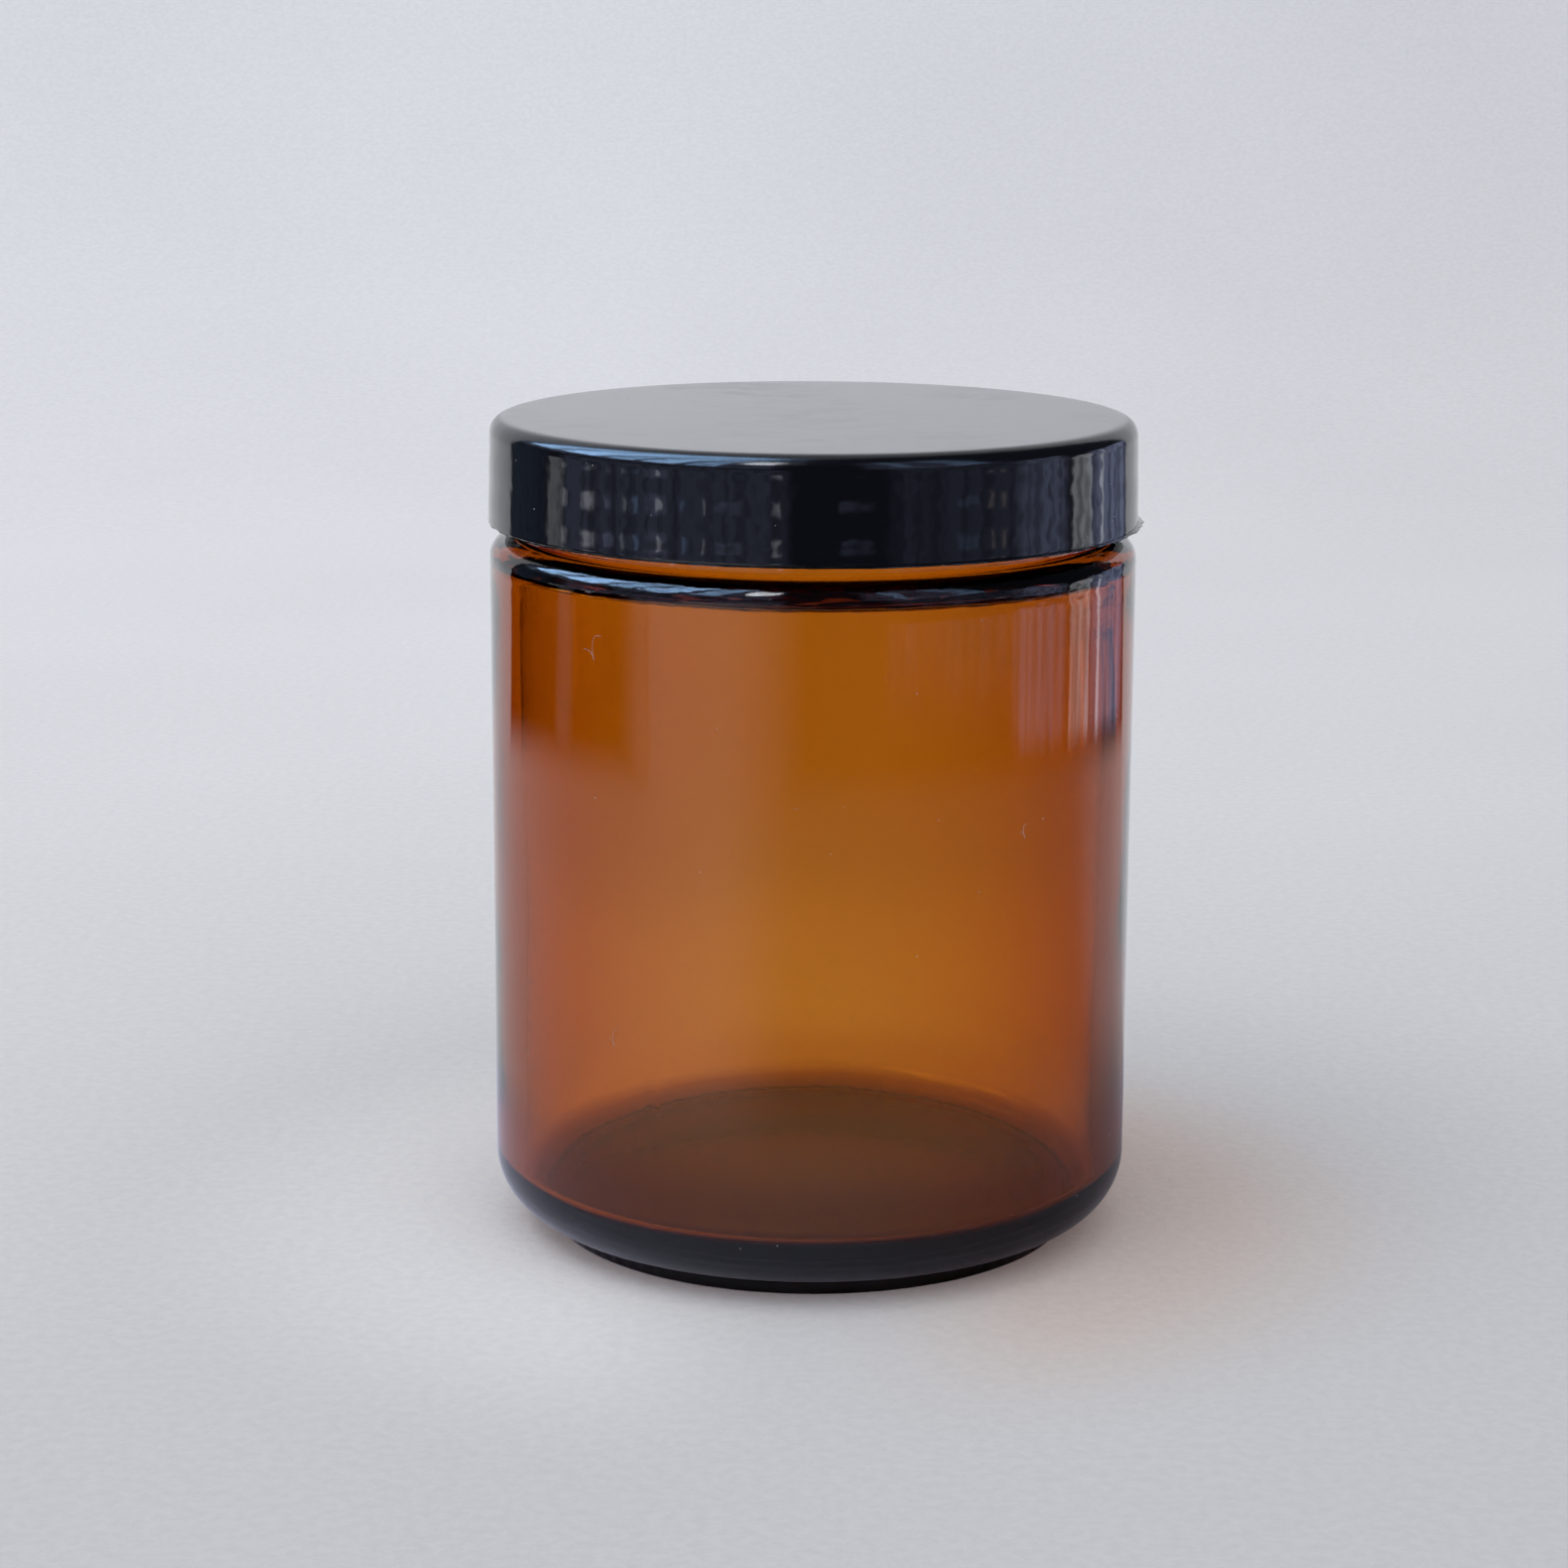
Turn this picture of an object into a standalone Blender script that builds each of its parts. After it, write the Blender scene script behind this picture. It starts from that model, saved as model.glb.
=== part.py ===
"""Straight-sided amber glass cream jar with a smooth black screw cap and its two-ply liner.

The jar stands on Z = 0 with its axis on Z. The cap turns about that axis and climbs one thread pitch per
turn, and the liner climbs with it. Lengths are in millimetres here and become metres when a mesh is made.
"""

from math import cos, pi, radians, sin

import bmesh
import bpy

MM = 0.001

# The jar's body
BODY_RADIUS = 36.5
WALL = 3.2
SHOULDER_TOP = 80.1
SHOULDER_ROUND = 2.4
HEEL_ROUND = 6.8
FOOT_RADIUS = 30.1
FOOT_HEIGHT = 1.7
FOOT_ROUND = 0.4
FOOT_LAND = 1.7  # width of the flat ring that the jar stands on
PUSH_UP = 2.2  # how far the middle of the base stands clear of the table
PUSH_UP_POWER = 3  # the base is nearly flat in the middle and falls away near the foot
FLOOR_TOP = 7.0  # inside, at the edge of the floor
FLOOR_DOME = 0.3
FLOOR_FILLET = 1.7

# The jar's neck, which takes a 70 mm cap
NECK_RADIUS = 33.4
NECK_BORE = 30.2
NECK_FILLET = 0.7
NECK_UNDERSIDE = 77.3  # height at which the inside turns in below the neck
NECK_CORNER = 0.8  # rounding between the wall and that underside
NECK_RISE = 0.15  # how much the underside climbs towards the bore
BORE_CORNER = 1.0  # rounding between that underside and the bore
LIP_TOP = 89.93
LIP_ROUND = 0.9

# The right-handed thread, 6 turns to the inch
PITCH = 25.4 / 6
THREAD_TURNS = 1.1
THREAD_FADE = 0.07  # turns over which each end of a thread sinks into its wall
THREAD_BURIED = 0.6  # depth of a thread's root inside its wall
THREAD_SUNK = 0.2  # depth of the crest inside the wall at the thread's very ends
JAR_THREAD_TOP = 87.8  # height of the middle of the jar's thread where it ends under the lip
JAR_THREAD_CREST = 34.7
JAR_THREAD_ROOT_WIDTH = 2.4
JAR_THREAD_CREST_WIDTH = 1.0
CAP_THREAD_BOTTOM = 83.2
CAP_THREAD_CREST = 34.0
CAP_THREAD_ROOT_WIDTH = 1.9
CAP_THREAD_CREST_WIDTH = 0.8
THREAD_DROP = 1.53  # the cap's thread lies this far under the jar's, with 0.25 between their flanks

# The cap
CAP_BASE = 81.7
CAP_TOP = 93.43
CAP_RADIUS_BASE = 36.65
CAP_RADIUS_TOP = 36.42
CAP_EDGE_ROUND = 1.9
CAP_RIM_ROUND = 0.25
CAP_RIM_CHAMFER = 0.4
CAP_BORE = 35.05
CAP_ROOF = 1.5
CAP_ROOF_FILLET = 0.6

# The liner
LINER_RADIUS = 34.7
BACKING_THICKNESS = 0.8
FACING_THICKNESS = 0.3
CLEARANCE = 0.3  # between pieces that touch each other

SIDES = 72  # facets round the axis
SMOOTH_BELOW = radians(40)


def arc(centre, radius, start, end, steps):
    """Points (r, z) on an arc from start to end degrees, measured from +r towards +z."""
    points = []
    for i in range(steps + 1):
        angle = radians(start + (end - start) * i / steps)
        points.append((centre[0] + radius * cos(angle), centre[1] + radius * sin(angle)))
    return points


def ease(t):
    """Rise smoothly from 0 to 1."""
    return t * t * (3 - 2 * t)


def domed(radius, middle_z, edge_z, power, steps):
    """Points (r, z) from the axis out to radius, closer together towards the edge."""
    points = []
    for i in range(steps + 1):
        t = sin(pi / 2 * i / steps)
        points.append((radius * t, middle_z + (edge_z - middle_z) * t**power))
    return points


def add_object(name, mesh, parent, height):
    """Place a mesh on the jar's axis, at a height in millimetres."""
    thing = bpy.data.objects.new(name, mesh)
    bpy.context.collection.objects.link(thing)
    thing.location = (0, 0, height * MM)
    thing.parent = parent
    return thing


def axis_empty(name, parent):
    """An empty on the jar's axis, from which a moving piece hangs."""
    empty = bpy.data.objects.new(name, None)
    empty.empty_display_size = 20 * MM
    empty.parent = parent
    bpy.context.collection.objects.link(empty)
    return empty


def finish_mesh(thing):
    """Apply the object's modifiers and shade it smooth, apart from its real edges."""
    depsgraph = bpy.context.evaluated_depsgraph_get()
    mesh = bpy.data.meshes.new_from_object(thing.evaluated_get(depsgraph))
    mesh.name = thing.name
    thing.modifiers.clear()
    thing.data = mesh
    mesh.shade_smooth()
    mesh.set_sharp_from_angle(angle=SMOOTH_BELOW)


def turned(name, profile, parent=None, height=0.0):
    """A solid of revolution from points (r, z) that run from axis to axis, down the solid's outer side."""
    form = bmesh.new()
    corners = [form.verts.new((r * MM, 0, (z - height) * MM)) for r, z in profile]
    for here, there in zip(corners, corners[1:]):
        form.edges.new((here, there))
    mesh = bpy.data.meshes.new(name)
    form.to_mesh(mesh)
    form.free()
    thing = add_object(name, mesh, parent, height)
    screw = thing.modifiers.new("turned about the axis", "SCREW")
    screw.axis = "Z"
    screw.angle = 2 * pi
    screw.steps = SIDES
    screw.render_steps = SIDES
    screw.use_merge_vertices = True
    screw.merge_threshold = 0.00001
    return thing


def thread_corners(wall, crest, root_width, crest_width):
    """Two sets of four corners (r, dz) of a thread's section: at full height, and sunk into its wall."""
    outwards = 1 if crest > wall else -1
    slope = (root_width - crest_width) / 2 / abs(crest - wall)
    buried = wall - outwards * THREAD_BURIED
    sunk = wall - outwards * THREAD_SUNK
    root_half = root_width / 2 + slope * THREAD_BURIED
    crest_half = crest_width / 2
    full_height = [(buried, root_half), (crest, crest_half), (crest, -crest_half), (buried, -root_half)]
    at_the_ends = [(buried, root_half), (sunk, crest_half), (sunk, -crest_half), (buried, -root_half)]
    return full_height, at_the_ends


def add_thread(thing, corners, start_z, start_turn):
    """Join a helical ridge to a turned solid. Its middle starts at start_z, start_turn turns from +X."""
    full_height, at_the_ends = corners
    steps = round(THREAD_TURNS * SIDES)
    form = bmesh.new()
    rings = []
    for i in range(steps + 1):
        along = THREAD_TURNS * i / steps
        rise = ease(min(1.0, along / THREAD_FADE, (THREAD_TURNS - along) / THREAD_FADE))
        angle = 2 * pi * (start_turn + along)
        ring = []
        for (r_full, dz), (r_low, _) in zip(full_height, at_the_ends):
            radius = r_low + (r_full - r_low) * rise
            height = start_z + PITCH * along + dz
            ring.append(form.verts.new((radius * cos(angle) * MM, radius * sin(angle) * MM, height * MM)))
        rings.append(ring)
    for ring, following in zip(rings, rings[1:]):
        for j in range(4):
            k = (j + 1) % 4
            form.faces.new((ring[j], ring[k], following[k], following[j]))
    form.faces.new(rings[0])
    form.faces.new(rings[-1])
    bmesh.ops.recalc_face_normals(form, faces=form.faces)
    mesh = bpy.data.meshes.new("thread")
    form.to_mesh(mesh)
    form.free()
    ridge = add_object("thread", mesh, None, 0.0)
    ridge.hide_render = True
    ridge.display_type = "WIRE"
    union = thing.modifiers.new("thread", "BOOLEAN")
    union.operation = "UNION"
    union.solver = "EXACT"
    union.object = ridge
    bpy.context.view_layer.update()
    finish_mesh(thing)
    bpy.data.objects.remove(ridge)


def paint(thing, name, colour, roughness, see_through=0.0):
    """Give the object its own Principled material."""
    material = bpy.data.materials.new(name)
    material.use_nodes = True
    shader = material.node_tree.nodes["Principled BSDF"]
    shader.inputs["Base Color"].default_value = (*colour, 1.0)
    shader.inputs["Roughness"].default_value = roughness
    shader.inputs["Metallic"].default_value = 0.0
    shader.inputs["Transmission Weight"].default_value = see_through
    material.diffuse_color = (*colour, 1.0)
    thing.data.materials.clear()
    thing.data.materials.append(material)


def jar_inside():
    """Profile of the glass from the middle of the floor up the inner side to the top of the lip."""
    bore = BODY_RADIUS - WALL
    floor_radius = bore - FLOOR_FILLET
    bore_start = NECK_UNDERSIDE + NECK_RISE + BORE_CORNER
    points = domed(floor_radius, FLOOR_TOP + FLOOR_DOME, FLOOR_TOP, 2, 3)[:-1]
    points += arc((floor_radius, FLOOR_TOP + FLOOR_FILLET), FLOOR_FILLET, -90, 0, 4)
    points += arc((bore - NECK_CORNER, NECK_UNDERSIDE - NECK_CORNER), NECK_CORNER, 0, 90, 3)
    points += arc((NECK_BORE + BORE_CORNER, bore_start), BORE_CORNER, 270, 180, 3)
    points += arc((NECK_BORE + LIP_ROUND, LIP_TOP - LIP_ROUND), LIP_ROUND, 180, 90, 3)
    return points


def jar_outside():
    """Profile of the glass from the top of the lip down the outer side to the middle of the base."""
    ledge = NECK_RADIUS + NECK_FILLET
    land_inner = FOOT_RADIUS - FOOT_ROUND - FOOT_LAND
    points = arc((NECK_RADIUS - LIP_ROUND, LIP_TOP - LIP_ROUND), LIP_ROUND, 90, 0, 3)
    points += arc((ledge, SHOULDER_TOP + NECK_FILLET), NECK_FILLET, 180, 270, 3)[:-1]
    points += arc((ledge, SHOULDER_TOP - SHOULDER_ROUND), SHOULDER_ROUND, 90, 0, 6)
    points += arc((BODY_RADIUS - HEEL_ROUND, FOOT_HEIGHT + HEEL_ROUND), HEEL_ROUND, 0, -85, 8)
    points += arc((FOOT_RADIUS - FOOT_ROUND, FOOT_ROUND), FOOT_ROUND, 0, -90, 2)
    points += reversed(domed(land_inner, PUSH_UP, 0.0, PUSH_UP_POWER, 6))
    return points


def glass_jar():
    """The jar: one body of glass with its thread."""
    jar = turned("glass_jar", jar_inside() + jar_outside())
    corners = thread_corners(NECK_RADIUS, JAR_THREAD_CREST, JAR_THREAD_ROOT_WIDTH, JAR_THREAD_CREST_WIDTH)
    add_thread(jar, corners, JAR_THREAD_TOP - PITCH * THREAD_TURNS, 0.0)
    paint(jar, "amber glass", (0.42, 0.13, 0.012), 0.03, see_through=1.0)


def liner(lift):
    """The liner's two plies, board over film, between the cap's roof and the lip."""
    backing_top = CAP_TOP - CAP_ROOF - CLEARANCE
    facing_top = backing_top - BACKING_THICKNESS - CLEARANCE
    plies = (
        ("liner_backing", backing_top, BACKING_THICKNESS, (0.62, 0.52, 0.38), 0.8),
        ("liner_facing", facing_top, FACING_THICKNESS, (0.86, 0.86, 0.84), 0.35),
    )
    for name, top, thickness, colour, roughness in plies:
        bottom = top - thickness
        profile = [(0, top), (LINER_RADIUS, top), (LINER_RADIUS, bottom), (0, bottom)]
        ply = turned(name, profile, lift, bottom)
        bpy.context.view_layer.update()
        finish_mesh(ply)
        paint(ply, name.replace("_", " "), colour, roughness)


def screw_cap(turn):
    """The cap: one moulding of top, skirt and inner thread."""
    roof = CAP_TOP - CAP_ROOF
    profile = [(0, CAP_TOP)]
    profile += arc((CAP_RADIUS_TOP - CAP_EDGE_ROUND, CAP_TOP - CAP_EDGE_ROUND), CAP_EDGE_ROUND, 90, 0, 5)
    profile += arc((CAP_RADIUS_BASE - CAP_RIM_ROUND, CAP_BASE + CAP_RIM_ROUND), CAP_RIM_ROUND, 0, -90, 2)
    profile += [(CAP_BORE + CAP_RIM_CHAMFER, CAP_BASE), (CAP_BORE, CAP_BASE + CAP_RIM_CHAMFER)]
    profile += arc((CAP_BORE - CAP_ROOF_FILLET, roof - CAP_ROOF_FILLET), CAP_ROOF_FILLET, 0, 90, 3)
    profile += [(0, roof)]
    cap = turned("screw_cap", profile, turn, CAP_BASE)
    jar_thread_bottom = JAR_THREAD_TOP - PITCH * THREAD_TURNS
    start_turn = (CAP_THREAD_BOTTOM - jar_thread_bottom + THREAD_DROP) / PITCH
    corners = thread_corners(CAP_BORE, CAP_THREAD_CREST, CAP_THREAD_ROOT_WIDTH, CAP_THREAD_CREST_WIDTH)
    add_thread(cap, corners, CAP_THREAD_BOTTOM, start_turn)
    paint(cap, "black cap plastic", (0.006, 0.006, 0.007), 0.22)


def build():
    """Clear the scene, then make the jar, the liner and the cap."""
    for old in list(bpy.data.objects):
        bpy.data.objects.remove(old)
    lift = axis_empty("cap_lift", None)
    turn = axis_empty("cap_turn", lift)
    glass_jar()
    liner(lift)
    screw_cap(turn)


build()
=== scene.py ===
"""The looks of an amber glass cream jar with a black screw cap, on a pale tabletop in soft window light."""

from math import cos, pi, radians, sin

import bmesh
import bpy
from mathutils import Matrix, Vector

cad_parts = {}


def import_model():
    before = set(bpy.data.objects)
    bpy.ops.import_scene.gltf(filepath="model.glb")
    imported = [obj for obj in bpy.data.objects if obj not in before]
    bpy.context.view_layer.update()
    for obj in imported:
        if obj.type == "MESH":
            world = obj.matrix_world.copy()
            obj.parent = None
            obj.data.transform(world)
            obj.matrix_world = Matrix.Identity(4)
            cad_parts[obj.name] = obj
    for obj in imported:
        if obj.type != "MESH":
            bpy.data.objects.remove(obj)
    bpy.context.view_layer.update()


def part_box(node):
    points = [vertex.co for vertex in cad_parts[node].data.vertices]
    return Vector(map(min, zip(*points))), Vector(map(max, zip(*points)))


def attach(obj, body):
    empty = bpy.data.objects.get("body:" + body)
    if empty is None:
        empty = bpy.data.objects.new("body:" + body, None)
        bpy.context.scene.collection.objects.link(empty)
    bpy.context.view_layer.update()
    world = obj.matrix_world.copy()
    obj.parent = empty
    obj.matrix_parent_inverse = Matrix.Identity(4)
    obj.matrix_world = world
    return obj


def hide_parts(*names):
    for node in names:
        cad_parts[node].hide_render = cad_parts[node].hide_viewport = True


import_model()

MM = 0.001
INCH = 0.0254

# Sizes taken from the frame
jar_low, jar_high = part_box("glass_jar")
cap_low, cap_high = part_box("screw_cap")
backing_low, backing_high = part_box("liner_backing")
facing_low, facing_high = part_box("liner_facing")
BODY_RADIUS = jar_high.x
LIP_TOP = jar_high.z
CAP_BASE = cap_low.z
CAP_TOP = cap_high.z
CAP_RADIUS_BASE = cap_high.x
LINER_RADIUS = backing_high.x

# The jar's glass
WALL = 3.2 * MM
SHOULDER_TOP = 80.1 * MM
SHOULDER_ROUND = 2.4 * MM
HEEL_ROUND = 6.8 * MM
FOOT_RADIUS = 30.1 * MM
FOOT_HEIGHT = 1.7 * MM
FOOT_ROUND = 0.4 * MM
FOOT_LAND = 1.7 * MM
PUSH_UP = 2.2 * MM
PUSH_UP_POWER = 3
FLOOR_TOP = 7.0 * MM
FLOOR_DOME = 0.3 * MM
FLOOR_FILLET = 1.7 * MM
NECK_RADIUS = 33.4 * MM
NECK_BORE = 30.2 * MM
NECK_FILLET = 0.7 * MM
NECK_UNDERSIDE = 77.3 * MM  # where the inside turns in below the neck
NECK_CORNER = 0.8 * MM
NECK_RISE = 0.15 * MM
BORE_CORNER = 1.0 * MM
LIP_ROUND = 0.9 * MM

# The thread
PITCH = INCH / 6
THREAD_TURNS = 1.1
THREAD_FADE = 0.07
JAR_THREAD_BOTTOM = 87.8 * MM - PITCH * THREAD_TURNS
JAR_THREAD_HEIGHT = 1.3 * MM
CAP_THREAD_BOTTOM = 83.2 * MM
CAP_THREAD_HEIGHT = 1.05 * MM
THREAD_DROP = 1.53 * MM

# The cap
CAP_RADIUS_TOP = 36.42 * MM
CAP_EDGE_ROUND = 1.9 * MM
CAP_RIM_ROUND = 0.25 * MM
CAP_RIM_CHAMFER = 0.4 * MM
CAP_BORE = 35.05 * MM
CAP_ROOF = 1.5 * MM
CAP_ROOF_FILLET = 0.6 * MM


# ---- Node trees ----


class Graph:
    """Adds nodes to a node tree. Inputs are sockets or plain values."""

    def __init__(self, tree):
        self.tree = tree

    def node(self, kind, inputs=None, **settings):
        made = self.tree.nodes.new(kind)
        for name, value in settings.items():
            setattr(made, name, value)
        for name, value in (inputs or {}).items():
            self.feed(made.inputs[name], value)
        return made

    def feed(self, socket, value):
        if isinstance(value, bpy.types.NodeSocket):
            self.tree.links.new(value, socket)
        else:
            socket.default_value = value

    def math(self, operation, *values, clamp=False):
        made = self.node("ShaderNodeMath", operation=operation, use_clamp=clamp)
        for socket, value in zip(made.inputs, values):
            self.feed(socket, value)
        return made.outputs[0]

    def add(self, *values):
        total = values[0]
        for value in values[1:]:
            total = self.math("ADD", total, value)
        return total

    def times(self, *values):
        product = values[0]
        for value in values[1:]:
            product = self.math("MULTIPLY", product, value)
        return product

    def ramp(self, value, low, high, to_low=0.0, to_high=1.0, smooth=True):
        """Maps value from low..high to to_low..to_high, held at both ends."""
        kind = "SMOOTHSTEP" if smooth else "LINEAR"
        limits = {"Value": value, "From Min": low, "From Max": high, "To Min": to_low, "To Max": to_high}
        return self.node("ShaderNodeMapRange", limits, clamp=True, interpolation_type=kind).outputs[0]

    def noise(self, vector, scale, detail=2.0, roughness=0.5):
        """Noise from 0 to 1, about 0.5."""
        made = self.node("ShaderNodeTexNoise", {"Scale": scale, "Detail": detail, "Roughness": roughness})
        self.feed(made.inputs["Vector"], vector)
        return made.outputs[0]

    def axes(self, vector):
        """The X, Y and Z of a vector."""
        return self.node("ShaderNodeSeparateXYZ", {"Vector": vector}).outputs

    def from_axis(self, axes):
        """How far the point with these X and Y lies from the Z axis."""
        squares = [self.times(axes[name], axes[name]) for name in ("X", "Y")]
        return self.math("SQRT", self.add(*squares))


def new_group(name, kind, inputs, outputs):
    """A node group with its named sockets: returns its Graph, its input node and its output node."""
    tree = bpy.data.node_groups.new(name, kind)
    for socket_name, socket_type, value in inputs:
        socket = tree.interface.new_socket(socket_name, in_out="INPUT", socket_type=socket_type)
        if value is not None:
            socket.default_value = value
    for socket_name, socket_type in outputs:
        tree.interface.new_socket(socket_name, in_out="OUTPUT", socket_type=socket_type)
    graph = Graph(tree)
    return graph, tree.nodes.new("NodeGroupInput"), tree.nodes.new("NodeGroupOutput")


FLOAT = "NodeSocketFloat"
GEOMETRY = "NodeSocketGeometry"
MATERIAL = "NodeSocketMaterial"


def end_tree(graph, result, geometry, material):
    """The end of every tree that makes a piece: real geometry with its material."""
    real = graph.node("GeometryNodeRealizeInstances", {"Geometry": geometry})
    painted = graph.node("GeometryNodeSetMaterial", {"Geometry": real.outputs[0], "Material": material})
    graph.feed(result.inputs[0], painted.outputs[0])
    return graph.tree


# Noise scales, in features to the metre
RIM_RAGGEDNESS = 900.0
WALL_SWELL = 45.0

MERGE_GAP = 0.001 * MM  # vertices closer than this become one


def turned_piece_tree():
    """Turns a profile about Z, with a ring of vertices for each point, and raises what its marks ask for.

    The profile's points lie at (r, 0, z), from the axis to the axis. Their attributes say which of them
    carry the thread, the mould seam, the foot's stipple, the ragged rim and the unevenness of the wall.
    """
    inputs = [
        ("Profile", GEOMETRY, None),
        ("Sides", "NodeSocketInt", 288),
        ("Pitch", FLOAT, PITCH),
        ("Thread Start", FLOAT, 0.0),
        ("Thread Turn", FLOAT, 0.0),
        ("Thread Turns", FLOAT, THREAD_TURNS),
        ("Thread Fade", FLOAT, THREAD_FADE),
        ("Root Width", FLOAT, 2.4 * MM),
        ("Crest Width", FLOAT, 1.0 * MM),
        ("Thread Height", FLOAT, 0.0),
        ("Wave Height", FLOAT, 0.0),
        ("Seam Height", FLOAT, 0.0),
        ("Seam Width", FLOAT, 0.4 * MM),
        ("Seam Angle", FLOAT, 0.0),
        ("Stipple Height", FLOAT, 0.0),
        ("Stipple Count", FLOAT, 90.0),
        ("Rim Reach", FLOAT, 0.0),
        ("Rim Lean", FLOAT, 0.0),
        ("Rim Ragged", FLOAT, 0.0),
        ("Uneven", FLOAT, 0.0),
        ("Thick Sides", FLOAT, 0.0),
        ("Thin Wall", FLOAT, 0.0),
        ("Thin From", FLOAT, 30 * MM),
        ("Thin To", FLOAT, 62 * MM),
        ("Material", MATERIAL, None),
    ]
    graph, given, result = new_group("turned piece", "GeometryNodeTree", inputs, [("Piece", GEOMETRY)])
    want = given.outputs
    position = graph.node("GeometryNodeInputPosition").outputs[0]
    size = graph.node("GeometryNodeAttributeDomainSize", {"Geometry": want["Profile"]})
    count = size.outputs["Point Count"]
    grid = graph.node("GeometryNodeMeshGrid", {"Size X": 1.0, "Size Y": 1.0, "Vertices Y": count})
    graph.feed(grid.inputs["Vertices X"], graph.math("ADD", want["Sides"], 1))
    on_grid = graph.axes(position)
    turn = graph.add(on_grid["X"], 0.5)
    row = graph.times(graph.add(on_grid["Y"], 0.5), graph.math("SUBTRACT", count, 1))
    ring = graph.node("FunctionNodeFloatToInt", {"Float": row}, rounding_mode="ROUND").outputs[0]

    def of_profile(value, data_type):
        sample = graph.node("GeometryNodeSampleIndex", data_type=data_type, domain="POINT")
        graph.feed(sample.inputs["Geometry"], want["Profile"])
        graph.feed(sample.inputs["Value"], value)
        graph.feed(sample.inputs["Index"], ring)
        return sample.outputs["Value"]

    def mark(name):
        attribute = graph.node("GeometryNodeInputNamedAttribute", {"Name": name}, data_type="FLOAT")
        return of_profile(attribute.outputs["Attribute"], "FLOAT")

    point = graph.axes(of_profile(position, "FLOAT_VECTOR"))
    radius, height = point["X"], point["Z"]
    angle = graph.times(turn, 2 * pi)
    cosine = graph.math("COSINE", angle)
    sine = graph.math("SINE", angle)

    def at(distance):
        """The place at this distance from the axis, at this vertex's angle and height."""
        spot = graph.node("ShaderNodeCombineXYZ", {"Z": height})
        graph.feed(spot.inputs["X"], graph.times(distance, cosine))
        graph.feed(spot.inputs["Y"], graph.times(distance, sine))
        return spot.outputs[0]

    plain = at(radius)

    # The thread: how far this point lies from the middle of the nearest turn, and how far round that turn is
    round_from_start = graph.math("SUBTRACT", turn, want["Thread Turn"])
    climb = graph.math("DIVIDE", graph.math("SUBTRACT", height, want["Thread Start"]), want["Pitch"])
    climb = graph.math("SUBTRACT", climb, round_from_start)
    whole = graph.math("ROUND", climb)
    off = graph.math("ABSOLUTE", graph.times(graph.math("SUBTRACT", climb, whole), want["Pitch"]))
    along = graph.add(round_from_start, whole)
    left = graph.math("SUBTRACT", want["Thread Turns"], along)
    rises = graph.ramp(along, 0.0, want["Thread Fade"])
    dies = graph.ramp(left, 0.0, want["Thread Fade"])
    half_root = graph.times(want["Root Width"], 0.5)
    half_crest = graph.times(want["Crest Width"], 0.5)
    section = graph.ramp(off, half_root, half_crest)
    thread = graph.times(section, graph.times(rises, dies), want["Thread Height"], mark("threaded"))

    # The skirt sinks a little over each turn of its inner thread
    wave = graph.math("COSINE", graph.times(climb, 2 * pi))
    sink = graph.times(wave, want["Wave Height"], mark("waved"))

    # Two mould seams, half a turn apart
    from_seam = graph.math("SINE", graph.math("SUBTRACT", angle, want["Seam Angle"]))
    seam_gap = graph.math("ABSOLUTE", graph.times(from_seam, radius))
    seam = graph.times(graph.ramp(seam_gap, want["Seam Width"], 0.0), want["Seam Height"], mark("seamed"))

    # The stipple round the foot
    bumps = graph.math("COSINE", graph.times(angle, want["Stipple Count"]))
    stipple = graph.times(graph.ramp(bumps, -0.2, 1.0), want["Stipple Height"], mark("stippled"))

    # Flash round the cap's rim, wider on one side, with a ragged edge
    lean = graph.times(cosine, want["Rim Lean"])
    ragged = graph.math("SUBTRACT", graph.noise(plain, RIM_RAGGEDNESS, 3.0), 0.5)
    rim = graph.add(want["Rim Reach"], lean, graph.times(ragged, want["Rim Ragged"]))
    rim = graph.times(graph.math("MAXIMUM", rim, 0.0), mark("rimmed"))

    # The wall is thicker at its sides and thinner low down in front and behind
    side = graph.math("POWER", cosine, 2.0)
    front_and_back = graph.math("SUBTRACT", 1.0, side)
    low = graph.times(graph.ramp(height, want["Thin To"], want["Thin From"]), front_and_back)
    swell = graph.math("SUBTRACT", graph.noise(plain, WALL_SWELL, 1.0), 0.5)
    thinner = graph.times(low, want["Thin Wall"])
    thicker = graph.times(side, want["Thick Sides"], -1.0)
    uneven = graph.add(thinner, thicker, graph.times(swell, want["Uneven"]))
    uneven = graph.times(uneven, mark("uneven"))

    full = graph.add(radius, thread, sink, seam, stipple, rim, uneven)
    placed = graph.node("GeometryNodeSetPosition", {"Geometry": grid.outputs["Mesh"], "Position": at(full)})
    closed = graph.node("GeometryNodeMergeByDistance", {"Geometry": placed.outputs[0], "Distance": MERGE_GAP})
    outward = graph.node("GeometryNodeFlipFaces", {"Mesh": closed.outputs[0]})
    smooth = graph.node("GeometryNodeSetShadeSmooth", {"Geometry": outward.outputs[0]})
    return end_tree(graph, result, smooth.outputs[0], want["Material"])


# The attributes that a profile's points carry
MARKS = ("threaded", "waved", "seamed", "stippled", "rimmed", "uneven")


def arc(centre, radius, start, end, steps):
    """Points (r, z) on an arc, from start to end degrees, measured from +r towards +z."""
    points = []
    for i in range(steps + 1):
        angle = radians(start + (end - start) * i / steps)
        points.append((centre[0] + radius * cos(angle), centre[1] + radius * sin(angle)))
    return points


def line(start, end, steps):
    """Points (r, z) on a straight line, closer together towards its ends."""
    points = []
    for i in range(steps + 1):
        t = (1 - cos(pi * i / steps)) / 2
        points.append((start[0] + (end[0] - start[0]) * t, start[1] + (end[1] - start[1]) * t))
    return points


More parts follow.
